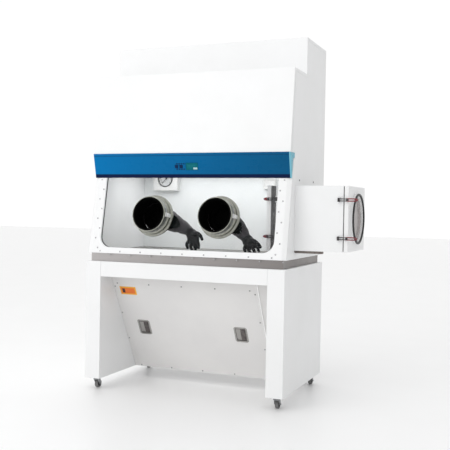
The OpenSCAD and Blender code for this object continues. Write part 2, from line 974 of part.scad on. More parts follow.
// Domed screw head standing on a face, its axis along -Y
module screw_head(r) {
  rotate([90, 0, 0]) difference() {
    cylinder(r1 = r, r2 = r * 0.7, h = 3);
    translate([0, 0, 1.6]) cylinder(r = r * 0.4, h = 3, $fn = 6);
  }
}

module panel_screws() {
  screw_r = 5;
  color("silver") placed() {
    for (row = [0, 1], i = [-4 : 4]) {
      on_window(row == 0 ? 32 : 10, i * 141 + (row == 0 ? 0 : 70))
        translate([0, -0.1, 0]) screw_head(screw_r);
    }
    for (side = [-1, 1], i = [0 : 7]) {
      on_window(52 + i * 62, side * (half_w - (i % 2 == 0 ? 65 : 44)))
        translate([0, -0.1, 0]) screw_head(screw_r);
    }
    for (i = [0 : 4]) {
      x = knee_x0 + 32 + i * 225;
      on_knee(60, x) translate([0, -0.1, 0]) screw_head(screw_r);
      on_knee(knee_len - 12, x + 16) translate([0, -0.1, 0]) screw_head(screw_r);
    }
    for (x = [knee_x0 + 10, knee_x1 - 18], i = [0 : 2]) {
      on_knee(85 + i * 205, x) translate([0, -0.1, 0]) screw_head(screw_r);
    }
    for (y = [250, 553]) {
      translate([half_w + 0.1, y, 1321]) rotate([0, 0, 90]) screw_head(7);
    }
  }
}

// ---------------------------------------------------------------- nodes

stand_side_panels();
stand_beams();
knee_panel();
knee_filler_panel();
panel_screws();
panel_latch_cups();
left_latch_paddle();
right_latch_paddle();
label_plate();
caster_plates();
front_left_caster_fork();
front_right_caster_fork();
rear_left_caster_fork();
rear_right_caster_fork();
front_left_wheel();
front_right_wheel();
rear_left_wheel();
rear_right_wheel();
base_plate();
cabinet_left_wall();
cabinet_right_wall();
cabinet_rear_wall();
rear_baffle();
work_floor();
diffuser_plate();
window_frame();
window_gasket();
window_pane();
glove_port_rings();
glove_clamp_bands();
left_glove();
right_glove();
gauge_housing();
gauge_dial();
gauge_needle();
gauge_lens();
hood_cover();
upper_housing();
control_band();
control_display();
fan_key();
lamp_key();
blower_housing();
blower_impeller();
hepa_filters();
exhaust_collar();
lamp_tube();
pass_box_shell();
door_gaskets();
door_hinge_pins();
outer_door();
outer_door_ring();
outer_door_glass();
outer_lower_latch();
outer_upper_latch();
inner_door();
inner_lower_latch();
inner_upper_latch();
service_socket();
power_inlet();
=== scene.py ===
"""Looks of the laboratory glove box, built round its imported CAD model."""

import math

import bmesh
import bpy
from mathutils import Matrix, Vector, noise


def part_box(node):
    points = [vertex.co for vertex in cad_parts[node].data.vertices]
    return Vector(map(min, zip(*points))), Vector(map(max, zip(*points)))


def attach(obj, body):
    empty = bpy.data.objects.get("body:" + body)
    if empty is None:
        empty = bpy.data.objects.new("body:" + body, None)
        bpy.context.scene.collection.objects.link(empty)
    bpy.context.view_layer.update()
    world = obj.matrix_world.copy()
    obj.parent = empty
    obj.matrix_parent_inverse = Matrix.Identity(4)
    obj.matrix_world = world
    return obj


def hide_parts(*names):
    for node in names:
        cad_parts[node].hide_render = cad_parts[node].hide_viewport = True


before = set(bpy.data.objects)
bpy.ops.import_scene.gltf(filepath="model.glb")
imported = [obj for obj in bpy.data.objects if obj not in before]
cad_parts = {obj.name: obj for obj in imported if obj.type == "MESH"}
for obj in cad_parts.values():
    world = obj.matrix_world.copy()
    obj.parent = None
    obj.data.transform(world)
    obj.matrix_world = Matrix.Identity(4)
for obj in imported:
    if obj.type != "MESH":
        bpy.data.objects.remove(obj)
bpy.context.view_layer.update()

WINDOW_TILT = math.radians(10.3)
KNEE_TILT = math.radians(28.7)
SMOOTH_ANGLE = math.radians(35)
PANE_THICKNESS = 0.008
PORT_UP_THE_PANE = 0.234
PORT_FLANGE_RADIUS = 0.128
PORT_BORE = 0.097
PORT_REACH = 0.082
BAND_LEAN = 0.034
CORNERS = ("front_left", "front_right", "rear_left", "rear_right")
MM = 0.001
X_AXIS, Z_AXIS = Vector((1, 0, 0)), Vector((0, 0, 1))


# ------------------------------------------------------------------ materials

class Surface:
    """One node material: a principled shader plus short calls that add the nodes feeding it."""

    def __init__(self, name, **sockets):
        self.material = bpy.data.materials.new(name)
        self.material.use_nodes = True
        self.tree = self.material.node_tree
        self.shader = self.tree.nodes["Principled BSDF"]
        self.coords = self.tree.nodes.new("ShaderNodeTexCoord").outputs["Object"]
        for socket, value in sockets.items():
            self.shader.inputs[socket.replace("_", " ")].default_value = value

    def node(self, kind, inputs=None, **settings):
        made = self.tree.nodes.new("ShaderNode" + kind)
        for key, value in settings.items():
            setattr(made, key, value)
        for key, value in (inputs or {}).items():
            if isinstance(value, bpy.types.NodeSocket):
                self.tree.links.new(value, made.inputs[key])
            else:
                made.inputs[key].default_value = value
        return made

    def stretched(self, scale):
        return self.node("Mapping", {"Vector": self.coords, "Scale": scale}).outputs[0]

    def noise(self, scale, detail=3.0, stretch=None, roughness=0.55):
        vector = self.stretched(stretch) if stretch else self.coords
        inputs = {"Vector": vector, "Scale": scale, "Detail": detail, "Roughness": roughness}
        return self.node("TexNoise", inputs).outputs["Fac"]

    def spread(self, value, low, high, start=0.3, end=0.7):
        inputs = {"Value": value, "From Min": start, "From Max": end, "To Min": low, "To Max": high}
        return self.node("MapRange", inputs).outputs[0]

    def blend(self, fac, colour_a, colour_b):
        mix = self.node("Mix", data_type="RGBA")
        self.tree.links.new(fac, mix.inputs[0])
        for slot, colour in ((6, colour_a), (7, colour_b)):
            if isinstance(colour, bpy.types.NodeSocket):
                self.tree.links.new(colour, mix.inputs[slot])
            else:
                mix.inputs[slot].default_value = (*colour, 1)
        return mix.outputs[2]

    def feed(self, socket, value):
        self.tree.links.new(value, self.shader.inputs[socket])
        return self

    def bump(self, height, distance, strength=1.0):
        inputs = {"Height": height, "Distance": distance, "Strength": strength}
        previous = self.shader.inputs["Normal"]
        if previous.is_linked:
            inputs["Normal"] = previous.links[0].from_socket
        return self.feed("Normal", self.node("Bump", inputs).outputs[0])


def powder_coat(name, light, dark):
    """Sprayed and baked paint: faint cloudiness and a fine orange-peel skin."""
    s = Surface(name, Coat_Weight=0.12, Coat_Roughness=0.25)
    cloud = s.spread(s.noise(2.2, 4.0), 0.0, 1.0, 0.35, 0.65)
    s.feed("Base Color", s.blend(cloud, light, dark))
    s.feed("Roughness", s.spread(s.noise(35.0, 3.0), 0.36, 0.50))
    s.bump(s.noise(650.0, 2.0), 0.00025, 0.35)
    return s.material


def brushed_steel(name, light, dark, grain=(1.0, 160.0, 160.0)):
    """Rolled sheet with a grain along its low-scale axis."""
    s = Surface(name, Metallic=1.0, Anisotropic=0.35)
    streaks = s.noise(6.0, 5.0, grain)
    cloud = s.noise(5.0, 3.0)
    s.feed("Base Color", s.blend(s.spread(streaks, 0.0, 1.0), light, dark))
    s.feed("Roughness", s.spread(cloud, 0.24, 0.42))
    s.bump(streaks, 0.0001, 0.4)
    return s.material


def cast_metal(name, light, dark, metallic=1.0, rough=(0.35, 0.55)):
    """Plated or die-cast metal with small blotches and pits."""
    s = Surface(name, Metallic=metallic)
    s.feed("Base Color", s.blend(s.spread(s.noise(45.0, 5.0), 0.0, 1.0), light, dark))
    s.feed("Roughness", s.spread(s.noise(120.0, 3.0), *rough))
    s.bump(s.noise(900.0, 2.0), 0.0002, 0.3)
    return s.material


def rubber(name, light, dark, rough=(0.5, 0.72), grain=700.0, shine=0.5, sheen=0.15):
    """Moulded or dipped rubber: dull, with a dusty bloom and a fine tooth."""
    s = Surface(name, Sheen_Weight=sheen, Sheen_Roughness=0.5, Specular_IOR_Level=shine)
    bloom = s.spread(s.noise(14.0, 5.0), 0.0, 1.0, 0.4, 0.75)
    s.feed("Base Color", s.blend(bloom, dark, light))
    s.feed("Roughness", s.spread(s.noise(60.0, 3.0), *rough))
    s.bump(s.noise(grain, 3.0), 0.0003, 0.4)
    return s.material


def plastic(name, light, dark, rough=(0.3, 0.45), coat=0.0, shine=0.5):
    """Moulded plastic with a faint mottle and a fine spark texture."""
    s = Surface(name, Coat_Weight=coat, Coat_Roughness=0.08, Specular_IOR_Level=shine)
    s.feed("Base Color", s.blend(s.spread(s.noise(8.0, 4.0), 0.0, 1.0), light, dark))
    s.feed("Roughness", s.spread(s.noise(90.0, 2.0), *rough))
    s.bump(s.noise(1200.0, 2.0), 0.00012, 0.25)
    return s.material


def band_paint_with_shade():
    """Blue lacquer with painted shade that darkens it to the right, with a groove, a navy foot and a pale
    end.
    """
    low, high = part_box("control_band")
    s = Surface("band_blue_painted_shade", Specular_IOR_Level=0.06)
    split = s.node("SeparateXYZ", {0: s.coords})
    across = s.spread(split.outputs["X"], 0.0, 1.0, low.x, high.x)
    # Painted shade: the blue darkens from the band's left end to its right end.
    tone = s.blend(across, (0.001, 0.170, 0.44), (0.003, 0.085, 0.20))
    speck = s.spread(s.noise(9.0, 4.0, (1.0, 12.0, 12.0)), 0.0, 0.10)
    tone = s.blend(speck, tone, (0.004, 0.20, 0.46))
    foot = s.spread(split.outputs["Z"], 1.0, 0.0, low.z + 0.020, low.z + 0.024)
    tone = s.blend(foot, tone, (0.004, 0.012, 0.055))
    groove_z = high.z - 0.014
    under = s.spread(split.outputs["Z"], 0.0, 0.7, groove_z - 0.003, groove_z - 0.002)
    over = s.spread(split.outputs["Z"], 1.0, 0.0, groove_z + 0.002, groove_z + 0.003)
    groove = s.node("Math", {0: under, 1: over}, operation="MULTIPLY").outputs[0]
    tone = s.blend(groove, tone, (0.006, 0.050, 0.14))
    end = s.spread(split.outputs["X"], 0.0, 1.0, high.x - 0.010, high.x - 0.008)
    tone = s.blend(end, tone, (0.20, 0.50, 0.62))
    s.feed("Base Color", tone)
    s.feed("Roughness", s.spread(s.noise(20.0, 3.0), 0.24, 0.34))
    s.bump(s.noise(900.0, 2.0), 0.00002, 0.1)
    return s.material


def base_steel_painted_light():
    """Brushed tray with painted light and shade, light at its left end and dark at its right."""
    low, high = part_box("base_plate")
    s = Surface("base_steel_painted_light", Metallic=0.7, Anisotropic=0.3)
    split = s.node("SeparateXYZ", {0: s.coords})
    across = s.spread(split.outputs["X"], 0.0, 1.0, low.x, high.x)
    streaks = s.spread(s.noise(6.0, 5.0, (1.0, 160.0, 160.0)), 0.0, 0.35)
    # Painted light and shade: the tone runs from light at the left end to dark at the right end.
    tone = s.blend(across, (0.52, 0.50, 0.50), (0.23, 0.215, 0.21))
    s.feed("Base Color", s.blend(streaks, tone, (0.30, 0.27, 0.25)))
    s.feed("Roughness", s.spread(s.noise(5.0, 3.0), 0.28, 0.44))
    s.bump(streaks, 0.0001, 0.4)
    return s.material


def clear_sheet(name, tint, body, smear):
    """Clear glass: see-through face on, more reflective at a glancing angle, faintly smeared."""
    s = Surface(name, IOR=1.5)
    facing = s.node("LayerWeight", {"Blend": 0.5}).outputs["Facing"]
    edge = s.node("Math", {0: facing, 1: 5.0}, operation="POWER").outputs[0]
    glance = s.spread(edge, 0.04, 0.9, 0.0, 1.0)
    smears = s.spread(s.noise(7.0, 6.0, (1.0, 1.0, 0.35)), 0.0, smear, 0.5, 0.8)
    film = s.node("Math", {0: glance, 1: smears}, operation="ADD").outputs[0]
    s.feed("Alpha", s.spread(film, body, 1.0, 0.0, 1.0))
    s.feed("Base Color", s.blend(smears, tint, (0.5, 0.53, 0.53)))
    s.feed("Roughness", s.spread(s.noise(12.0, 4.0), 0.03, 0.12))
    return s.material


def filter_paper():
    """Pleated glass-fibre paper."""
    s = Surface("filter_paper", Sheen_Weight=0.2)
    folds = s.noise(4.0, 2.0, (90.0, 1.0, 1.0))
    s.feed("Base Color", s.blend(s.spread(folds, 0.0, 1.0), (0.86, 0.86, 0.82), (0.66, 0.66, 0.62)))
    s.feed("Roughness", s.spread(s.noise(50.0, 3.0), 0.7, 0.9))
    s.bump(folds, 0.004, 0.8)
    return s.material


def lamp_glass():
    """Coated tube, lit along its length and duller at its two ends."""
    low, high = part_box("lamp_tube")
    s = Surface("lamp_glass", Emission_Strength=2.0)
    split = s.node("SeparateXYZ", {0: s.coords})
    along = s.spread(split.outputs["X"], -1.0, 1.0, low.x, high.x)
    ends = s.node("Math", {0: along}, operation="ABSOLUTE").outputs[0]
    worn = s.spread(ends, 0.0, 1.0, 0.93, 0.99)
    mottled = s.node("Math", {0: worn, 1: s.noise(30.0)}, operation="MULTIPLY").outputs[0]
    tone = s.blend(mottled, (0.95, 0.97, 1.0), (0.5, 0.5, 0.48))
    s.feed("Base Color", tone)
    s.feed("Emission Color", tone)
    s.feed("Roughness", s.spread(s.noise(40.0), 0.2, 0.35))
    return s.material


WHITE = powder_coat("cabinet_white", (0.90, 0.905, 0.91), (0.87, 0.875, 0.875))
KNEE_WHITE = powder_coat("knee_panel_grey", (0.82, 0.81, 0.80), (0.77, 0.76, 0.755))
LINER = powder_coat("chamber_liner", (0.88, 0.90, 0.90), (0.84, 0.865, 0.865))
STEEL = brushed_steel("brushed_stainless", (0.42, 0.41, 0.39), (0.30, 0.29, 0.28))
UPRIGHT_STEEL = brushed_steel("pressed_stainless", (0.50, 0.49, 0.47), (0.36, 0.35, 0.34),
                              (160.0, 160.0, 1.0))
ZINC = cast_metal("zinc_plate", (0.42, 0.43, 0.44), (0.27, 0.28, 0.29))
SCREW = cast_metal("screw_steel", (0.50, 0.50, 0.50), (0.33, 0.33, 0.34), rough=(0.25, 0.4))
PADDLE = cast_metal("paddle_metal", (0.22, 0.20, 0.19), (0.13, 0.12, 0.12), rough=(0.3, 0.5))
PORT = cast_metal("port_aluminium", (0.36, 0.36, 0.32), (0.24, 0.245, 0.215), rough=(0.28, 0.42))
FAN_GREY = cast_metal("fan_paint", (0.10, 0.10, 0.105), (0.06, 0.06, 0.065), metallic=0.1)
BLACK_RUBBER = rubber("black_rubber", (0.030, 0.030, 0.031), (0.012, 0.012, 0.013))
SLEEVE = rubber("sleeve_rubber", (0.060, 0.050, 0.058), (0.030, 0.026, 0.031), (0.42, 0.62),
                420.0, 0.25, 0.08)
HAND = rubber("hand_rubber", (0.016, 0.012, 0.015), (0.006, 0.005, 0.007), (0.30, 0.46), 420.0, 0.22, 0.02)
# Near-black, barely reflective rubber: the cuff's own black, and painted shade where it lines the port's
# throat and the sleeve's inside.
CUFF_AND_HOLLOW_SHADE = rubber("cuff_rubber_and_hollow_shade", (0.003, 0.003, 0.003), (0.001, 0.001, 0.001), (0.6, 0.8), 420.0, 0.05, 0.0)
GASKET_GREY = rubber("gasket_grey", (0.16, 0.155, 0.155), (0.08, 0.078, 0.08))
BASE_STEEL_PAINTED_LIGHT = base_steel_painted_light()
UNDERSIDE_SHADE_STEEL = cast_metal("underside_shade_steel", (0.22, 0.19, 0.17), (0.12, 0.10, 0.095), metallic=0.6)
LATCH_STEEL = cast_metal("latch_steel", (0.12, 0.11, 0.11), (0.05, 0.045, 0.05), rough=(0.3, 0.45))
TREAD = rubber("wheel_tread", (0.22, 0.22, 0.22), (0.12, 0.12, 0.12))
WHITE_PLASTIC = plastic("white_plastic", (0.82, 0.82, 0.81), (0.74, 0.74, 0.73))
BLACK_PLASTIC = plastic("black_plastic", (0.030, 0.030, 0.032), (0.016, 0.016, 0.017))
RED_GRIP = plastic("red_grip", (0.24, 0.014, 0.026), (0.13, 0.008, 0.015), (0.3, 0.45), 0.1)
ORANGE = plastic("label_orange", (0.90, 0.22, 0.03), (0.80, 0.15, 0.02))
YELLOW = plastic("label_yellow", (0.95, 0.50, 0.05), (0.86, 0.40, 0.03))
INK = plastic("label_ink", (0.05, 0.03, 0.03), (0.03, 0.02, 0.02))
KEY_BLUE = plastic("key_navy", (0.006, 0.035, 0.11), (0.004, 0.02, 0.07), shine=0.08)
MEMBRANE = plastic("membrane_blue", (0.006, 0.055, 0.17), (0.004, 0.04, 0.13), shine=0.08)
KEY_LIGHT = plastic("key_lamp", (0.55, 0.72, 0.78), (0.42, 0.60, 0.68), coat=0.3)
SCREEN = plastic("screen_teal", (0.004, 0.19, 0.22), (0.003, 0.12, 0.16), (0.2, 0.3), shine=0.08)
SEGMENT = plastic("screen_segment", (0.05, 0.42, 0.42), (0.03, 0.34, 0.36), (0.2, 0.3), shine=0.1)
NEEDLE = plastic("needle_black", (0.04, 0.04, 0.045), (0.02, 0.02, 0.022))
DIAL = plastic("dial_white", (0.80, 0.81, 0.82), (0.74, 0.75, 0.76))
BAND_BLUE_PAINTED_SHADE = band_paint_with_shade()
PAPER = filter_paper()
LAMP = lamp_glass()
PANE = clear_sheet("window_glass", (0.05, 0.07, 0.07), 0.0, 0.03)
PORTHOLE_GLASS = clear_sheet("porthole_glass", (0.55, 0.50, 0.49), 0.45, 0.08)
LENS = clear_sheet("gauge_lens_glass", (0.10, 0.12, 0.12), 0.0, 0.04)


# ------------------------------------------------------------------ mesh helpers

def new_object(name, bm, material):
    """Turns a bmesh into an object with one material and sharp edges above the smooth angle."""
    mesh = bpy.data.meshes.new(name)
    bmesh.ops.recalc_face_normals(bm, faces=bm.faces)
    for face in bm.faces:
        face.smooth = True
    for edge in bm.edges:
        if len(edge.link_faces) == 2 and edge.calc_face_angle(0) > SMOOTH_ANGLE:
            edge.smooth = False
    bm.to_mesh(mesh)
    bm.free()
    made = bpy.data.objects.new(name, mesh)
    bpy.context.scene.collection.objects.link(made)
    mesh.materials.append(material)
    return made


def join(name, parts):
    """One object out of several, keeping each part's material."""
    bpy.ops.object.select_all(action="DESELECT")
    for part in parts:
        part.select_set(True)
    bpy.context.view_layer.objects.active = parts[0]
    bpy.ops.object.join()
    parts[0].name = name
    return parts[0]


def settle(obj, body, *nodes):
    """The object rides on a body, and stands for the CAD nodes it is built from."""
    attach(obj, body)
    if nodes:
        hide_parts(*nodes)


def lathe(name, profile, place, material, segments=96):
    """Closed ring from a loop of (radius, height) points turned about the local Z of place."""
    bm = bmesh.new()
    rings = []
    for i in range(segments):
        turn = Matrix.Rotation(2 * math.pi * i / segments, 4, "Z")
        rings.append([bm.verts.new(place @ turn @ Vector((r, 0, h))) for r, h in profile])
    for i, ring in enumerate(rings):
        after = rings[(i + 1) % segments]
        for j in range(len(profile)):
            k = (j + 1) % len(profile)
            bm.faces.new((ring[j], after[j], after[k], ring[k]))
    bmesh.ops.remove_doubles(bm, verts=bm.verts, dist=1e-6)
    return new_object(name, bm, material)


def rounded_profile(points, radius, steps=4):
    """A closed (radius, height) loop with each corner replaced by a small arc."""
    out = []
    count = len(points)
    for i, here in enumerate(points):
        here = Vector(here)
        before, after = Vector(points[i - 1]), Vector(points[(i + 1) % count])
        reach = min(radius, (before - here).length * 0.45, (after - here).length * 0.45)
        start = here + (before - here).normalized() * reach
        end = here + (after - here).normalized() * reach
        for step in range(steps + 1):
            t = step / steps
            out.append(tuple(start * (1 - t) ** 2 + here * 2 * t * (1 - t) + end * t * t))
    return out


def block(name, low, high, material, place=None, bevel=0.001, segments=3):
    """Box between two corners with rounded edges."""
    low, high = Vector(low), Vector(high)
    bm = bmesh.new()
    bmesh.ops.create_cube(bm, size=1)
    for v in bm.verts:
        v.co = Vector(low[i] + (v.co[i] + 0.5) * (high[i] - low[i]) for i in range(3))
    reach = min(bevel, min(high - low) * 0.45)
    bmesh.ops.bevel(bm, geom=bm.edges, offset=reach, segments=segments, profile=0.5, affect="EDGES")
    bm.transform(place or Matrix.Identity(4))
    return new_object(name, bm, material)


def tube(name, points, radius, material, sides=24):
    """Round capped tube of one radius along points."""
    bm = bmesh.new()
    points = [Vector(p) for p in points]
    tangents = [(points[min(i + 1, len(points) - 1)] - points[max(i - 1, 0)]).normalized()
                for i in range(len(points))]
    across = tangents[0].orthogonal().normalized()
    rings = []
    for point, tangent in zip(points, tangents):
        across = (across - tangent * across.dot(tangent)).normalized()
        other = tangent.cross(across)
        ring = []
        for k in range(sides):
            angle = 2 * math.pi * k / sides
            spoke = across * math.cos(angle) + other * math.sin(angle)
            ring.append(bm.verts.new(point + spoke * radius))
        rings.append(ring)
    for ring, after in zip(rings, rings[1:]):
        for k in range(sides):
            bm.faces.new((ring[k], ring[(k + 1) % sides], after[(k + 1) % sides], after[k]))
    bm.faces.new(reversed(rings[0]))
    bm.faces.new(rings[-1])
    return new_object(name, bm, material)


def curve_points(controls, count):
    """Points along a Catmull-Rom curve through the control points."""
    controls = [Vector(c) for c in controls]
    padded = [controls[0] * 2 - controls[1], *controls, controls[-1] * 2 - controls[-2]]
    spans = len(controls) - 1
    out = []
    for i in range(count):
        t = i / (count - 1) * spans
        k = min(int(t), spans - 1)
        u = t - k
        a, b, c, d = padded[k:k + 4]
        out.append(0.5 * (2 * b + (c - a) * u + (2 * a - 5 * b + 4 * c - d) * u * u
                          + (3 * b - a - 3 * c + d) * u ** 3))
    return out


def along(values, count):
    """The listed values spread smoothly over count places."""
    out = []
    for i in range(count):
        t = i / (count - 1) * (len(values) - 1)
        k = min(int(t), len(values) - 2)
        u = t - k
        u = u * u * (3 - 2 * u)
        out.append(values[k] * (1 - u) + values[k + 1] * u)
    return out


def dress(node, material, bevel=0.0012):
    """Gives a CAD node its material and softens its edges."""
    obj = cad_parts[node]
    obj.data.materials.clear()
    obj.data.materials.append(material)
    weld = obj.modifiers.new("weld", "WELD")
    weld.merge_threshold = 1e-6
    if bevel:
        soft = obj.modifiers.new("soft_edges", "BEVEL")
        soft.width = bevel
        soft.segments = 2
        soft.limit_method = "ANGLE"
        soft.angle_limit = SMOOTH_ANGLE
        soft.harden_normals = False
    for polygon in obj.data.polygons:
        polygon.use_smooth = False


# ------------------------------------------------------------------ places

def cabinet_home():
    """The cabinet's own corner: mid-width, stand front, floor."""
    hood_low, hood_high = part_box("hood_cover")
    beam_low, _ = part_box("stand_beams")
    return Vector(((hood_low.x + hood_high.x) / 2, beam_low.y, 0))


HOME = cabinet_home()


def at(x, y, z):
    """A point given in millimetres from the cabinet's own corner."""
    return HOME + Vector((x, y, z)) * MM


def frame_of(x_axis, y_axis, z_axis, origin):
    """Matrix with these axes as its columns."""
    turn = Matrix((x_axis, y_axis, z_axis)).transposed().to_4x4()
    return Matrix.Translation(origin) @ turn


def leaning_place(lean, origin):
    """On a face that leans out over the operator: X to the left, Y up the face, Z out of it."""
    up = Vector((0, -math.sin(lean), math.cos(lean)))
    outward = Vector((0, -math.cos(lean), -math.sin(lean)))
    return frame_of(-X_AXIS, up, outward, origin)


def facing_place(origin):
    """On an upright face: X to the right, Y up, Z towards the operator."""
    return frame_of(X_AXIS, Z_AXIS, Vector((0, -1, 0)), origin)


def port_place(side):
    """Local Z points out of the port towards the operator, Y up the slope; origin on the pane."""
    low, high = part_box("glove_port_rings")
    x = high.x - PORT_FLANGE_RADIUS if side > 0 else low.x + PORT_FLANGE_RADIUS
    pane_low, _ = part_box("window_pane")
    slope = Vector((0, math.sin(WINDOW_TILT), math.cos(WINDOW_TILT)))
    outward = Vector((0, -math.cos(WINDOW_TILT), math.sin(WINDOW_TILT)))
    front_foot = Vector((x, pane_low.y, pane_low.z + PANE_THICKNESS * math.sin(WINDOW_TILT)))
    return frame_of(X_AXIS, slope, outward, front_foot + slope * PORT_UP_THE_PANE)


# ------------------------------------------------------------------ gloves

def ball(bm, centre, radius, squash=(1, 1, 1), detail=3):
    """Adds one closed ball to a bmesh."""
    place = Matrix.Translation(centre) @ Matrix.Diagonal((*squash, 1))
    bmesh.ops.create_icosphere(bm, subdivisions=detail, radius=radius, matrix=place)


def limb(bm, stations):
    """Adds a chain of balls through (point, radius) stations, close enough to read as one limb."""
    points = [p for p, _ in stations]
    count = 14 * (len(stations) - 1) + 1
    path = curve_points(points, count)
    radii = along([r for _, r in stations], count)
    for point, radius in zip(path, radii):
        ball(bm, point, radius, detail=2 if radius < 0.015 else 3)


def skin_over(name, bm, cell):
    """Melts the closed shapes of a bmesh into one smooth surface."""
    mesh = bpy.data.meshes.new(name + "_rough")
    bm.to_mesh(mesh)
    bm.free()
    rough = bpy.data.objects.new(name + "_rough", mesh)
    bpy.context.scene.collection.objects.link(rough)
    remesh = rough.modifiers.new("melt", "REMESH")
    remesh.mode = "VOXEL"
    remesh.voxel_size = cell
    smooth = rough.modifiers.new("relax", "SMOOTH")
    smooth.iterations = 4
    smooth.factor = 0.5
    baked = bpy.data.meshes.new_from_object(rough.evaluated_get(bpy.context.evaluated_depsgraph_get()))
    bpy.data.objects.remove(rough)
    melted = bmesh.new()
    melted.from_mesh(baked)
    return melted


def bake(obj):
    """Turns the object's modifiers into its mesh."""
    graph = bpy.context.evaluated_depsgraph_get()
    mesh = bpy.data.meshes.new_from_object(obj.evaluated_get(graph))
    obj.modifiers.clear()
    obj.data = mesh


def wrinkle(bm, start, end, depth):
    """Presses folds into a sleeve: close together across its length, long around it."""
    axis = (end - start).normalized()
    length = (end - start).length
    bm.normal_update()
    for v in bm.verts:
        reach = (v.co - start).dot(axis)
        fade = max(0.0, min(1.0, 1.15 - reach / length))
        around = v.co - axis * reach
        folds = noise.noise(axis * reach * 48 + around * 11)
        fine = noise.noise(v.co * 85)
        v.co += v.normal * depth * (fade * (folds + 0.25 * fine) + 0.12 * fine)


def build_glove(name, side, arm, palm, fingers):
    """Gauntlet: a cuff lining the port, a slack sleeve, and a hand with separate fingers; the sleeve's
    inside and the cuff's throat are near-black painted shade.
    """
    place = port_place(side)
    depth = 0.029
    cell = 0.0028
    fold_depth = 0.0042
    hand_rise = 0.012
    wall = 0.0012
    bm = bmesh.new()
    shoulder = place @ Vector((0, 0, -depth - 0.012))
    ball(bm, shoulder, PORT_BORE - 0.006, (1, 0.62, 1), 4)
    limb(bm, [(shoulder, 0.080)] + arm)
    for centre, radius, squash in palm:
        ball(bm, centre, radius, squash)
    for finger in fingers:
        limb(bm, finger)
    skinned = skin_over(name, bm, cell)
    outward = place.to_3x3() @ Vector((0, 0, 1))
    mouth = place @ Vector((0, 0, -depth))
    everything = skinned.verts[:] + skinned.edges[:] + skinned.faces[:]
    bmesh.ops.bisect_plane(skinned, geom=everything, plane_co=mouth, plane_no=outward, clear_outer=True)
    wrinkle(skinned, shoulder, arm[-1][0], fold_depth)
    body = new_object(name + "_sleeve", skinned, SLEEVE)
    body.data.materials.append(HAND)
    wrist = arm[-1][0]
    onward = (wrist - arm[-2][0]).normalized()
    for polygon in body.data.polygons:
        if (polygon.center - wrist).dot(onward) > 0 and polygon.center.z < wrist.z + hand_rise:
            polygon.material_index = 1
    # Painted shade: the sleeve's inner wall takes the near-black cuff rubber, darker than the sleeve's own
    # rubber.
    body.data.materials.append(CUFF_AND_HOLLOW_SHADE)
    thicken = body.modifiers.new("wall", "SOLIDIFY")
    thicken.thickness = wall
    thicken.offset = -1
    thicken.material_offset = 2
    bake(body)
    rim = PORT_REACH + 0.0005
    lining_r = PORT_BORE - 0.0012
    throat_r = PORT_BORE - 0.0085
    lip_r = PORT_BORE + 0.0065
    cuff = lathe(name + "_cuff", rounded_profile([
        (throat_r, -depth - 0.004), (lining_r, -depth + 0.008), (lining_r, rim),
        (lip_r, rim + 0.0005), (lip_r, rim + 0.0025), (lining_r - wall, rim + 0.0025),
        (lining_r - wall, -depth + 0.008), (throat_r - wall, -depth - 0.004)], 0.001), place, CUFF_AND_HOLLOW_SHADE)
    join(name + "_soft", [body, cuff])
    settle(body, "cabinet", name)


def build_gloves():
    build_glove(
        "left_glove", -1,
        arm=[(at(-178, 128, 1078), 0.072), (at(-118, 134, 1055), 0.056),
             (at(-60, 136, 1031), 0.043), (at(-14, 135, 1008), 0.031)],
        palm=[(at(8, 139, 982), 0.038, (0.95, 0.62, 1.05)), (at(18, 141, 956), 0.039, (1.05, 0.5, 0.85))],
        fingers=[
            [(at(-8, 142, 948), 0.0120), (at(-23, 136, 926), 0.0110), (at(-22, 146, 902), 0.0095)],
            [(at(9, 144, 942), 0.0122), (at(3, 136, 914), 0.0112), (at(8, 148, 888), 0.0095)],
            [(at(27, 144, 942), 0.0122), (at(31, 135, 914), 0.0112), (at(32, 148, 888), 0.0095)],
            [(at(42, 142, 952), 0.0115), (at(55, 136, 928), 0.0105), (at(52, 146, 904), 0.0090)],
            [(at(20, 130, 988), 0.0175), (at(48, 123, 994), 0.0135), (at(70, 123, 982), 0.0115),
             (at(81, 130, 958), 0.0098)]])
    build_glove(
        "right_glove", 1,
        arm=[(at(252, 118, 1072), 0.068), (at(296, 124, 1046), 0.054),
             (at(334, 128, 1012), 0.042), (at(360, 132, 978), 0.031)],
        palm=[(at(376, 136, 956), 0.038, (0.95, 0.62, 1.0)), (at(388, 139, 936), 0.038, (1.1, 0.52, 0.82))],
        fingers=[
            [(at(368, 140, 932), 0.0120), (at(354, 136, 914), 0.0110), (at(356, 144, 895), 0.0095)],
            [(at(386, 142, 924), 0.0122), (at(381, 136, 904), 0.0112), (at(388, 147, 886), 0.0092)],
            [(at(404, 142, 926), 0.0122), (at(413, 136, 906), 0.0112), (at(417, 147, 887), 0.0092)],
            [(at(416, 141, 936), 0.0115), (at(436, 135, 920), 0.0105), (at(442, 144, 899), 0.0090)],
            [(at(388, 127, 962), 0.0175), (at(416, 121, 960), 0.0135), (at(441, 123, 944), 0.0115),
             (at(456, 130, 924), 0.0098)]])


# ------------------------------------------------------------------ small parts

def screw(name, place, radius):
    """Domed socket head standing on local Z = 0."""
    return lathe(name, [(0.0001, 0), (radius, 0), (radius, radius * 0.3), (radius * 0.8, radius * 0.55),
                        (radius * 0.45, radius * 0.62), (radius * 0.42, radius * 0.25),
                        (0.0001, radius * 0.22)], place, SCREW, 20)


